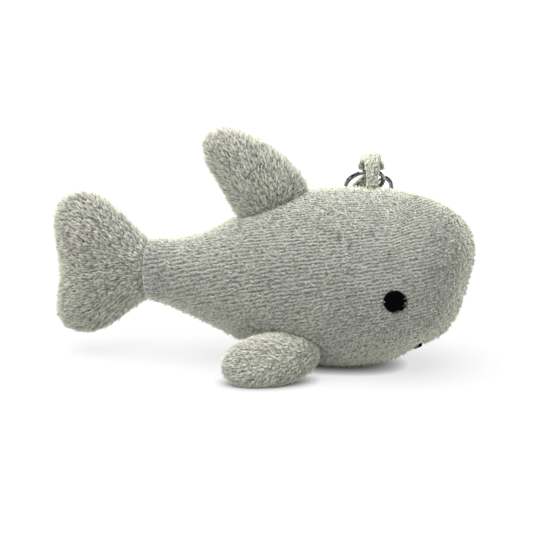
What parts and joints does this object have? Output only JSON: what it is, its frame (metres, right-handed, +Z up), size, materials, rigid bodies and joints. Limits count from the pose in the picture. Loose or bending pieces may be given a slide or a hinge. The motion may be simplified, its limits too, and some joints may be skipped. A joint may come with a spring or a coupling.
{
  "type": "plush shark keychain",
  "caption": "Stuffed fabric shark with a sewn hanging loop that carries a wire ring, a short chain and a split key ring.",
  "frame": {"origin": "on the table, under the middle of the shark's length and between its two sides", "axes": "+X to the nose, +Y to the shark's left side, +Z up"},
  "size_m": [0.1186, 0.054, 0.0659],
  "materials": {
    "plush_cloth": "short looped pile",
    "fibre_filling": "loose fibre",
    "embroidery": "satin stitch",
    "plush_tape": "short looped pile",
    "dark_nickel": "polished"
  },
  "bodies": {
    "shark": {"body_panel_left": "plush_cloth", "body_panel_right": "plush_cloth", "body_stuffing": "fibre_filling", "tail_panel_left": "plush_cloth", "tail_panel_right": "plush_cloth", "tail_stuffing": "fibre_filling", "dorsal_fin_panel_left": "plush_cloth", "dorsal_fin_panel_right": "plush_cloth", "dorsal_fin_stuffing": "fibre_filling", "eye_left": "embroidery", "eye_right": "embroidery", "mouth_stitch": "embroidery", "hanging_loop": "plush_tape"},
    "left_pectoral_fin": {"pectoral_fin_left_upper_panel": "plush_cloth", "pectoral_fin_left_lower_panel": "plush_cloth", "pectoral_fin_left_stuffing": "fibre_filling"},
    "right_pectoral_fin": {"pectoral_fin_right_upper_panel": "plush_cloth", "pectoral_fin_right_lower_panel": "plush_cloth", "pectoral_fin_right_stuffing": "fibre_filling"},
    "ring_in_loop": {"loop_ring": "dark_nickel"},
    "ring_on_ring": {"connecting_ring": "dark_nickel"},
    "upper_link": {"chain_link_1": "dark_nickel"},
    "lower_link": {"chain_link_2": "dark_nickel"},
    "split_ring": {"key_ring": "dark_nickel"}
  },
  "joints": [
    {"name": "left_fin_flap", "type": "hinge", "parent": "shark", "child": "left_pectoral_fin", "pos_m": [0.012, 0.0133, 0.0114], "axis": [1, 0, 0], "range_deg": [0, 25], "stiffness_Nm_per_rad": 0.002},
    {"name": "right_fin_flap", "type": "hinge", "parent": "shark", "child": "right_pectoral_fin", "pos_m": [0.012, -0.0133, 0.0114], "axis": [-1, 0, 0], "range_deg": [0, 25], "stiffness_Nm_per_rad": 0.002},
    {"name": "loop_ring_swing", "type": "hinge", "parent": "shark", "child": "ring_in_loop", "pos_m": [0.0295, 0.0045, 0.0546], "axis": [0.9136, 0.4067, 0], "range_deg": [0, 138]},
    {"name": "connecting_ring_swing", "type": "hinge", "parent": "ring_in_loop", "child": "ring_on_ring", "pos_m": [0.03145, 0.0114, 0.04848], "axis": [0.7116, -0.3064, 0.6323], "range_deg": [0, 30]},
    {"name": "chain_link_1_swing", "type": "hinge", "parent": "ring_on_ring", "child": "upper_link", "pos_m": [0.03373, 0.01347, 0.04632], "axis": [0.8774, -0.4797, 0], "range_deg": [0, 45]},
    {"name": "chain_link_2_swing", "type": "hinge", "parent": "upper_link", "child": "lower_link", "pos_m": [0.03595, 0.01754, 0.04134], "axis": [0.9689, -0.2476, 0], "range_deg": [0, 45]},
    {"name": "key_ring_swing", "type": "hinge", "parent": "lower_link", "child": "split_ring", "pos_m": [0.03631, 0.01895, 0.03872], "axis": [1, 0, 0], "range_deg": [0, 60]}
  ]
}
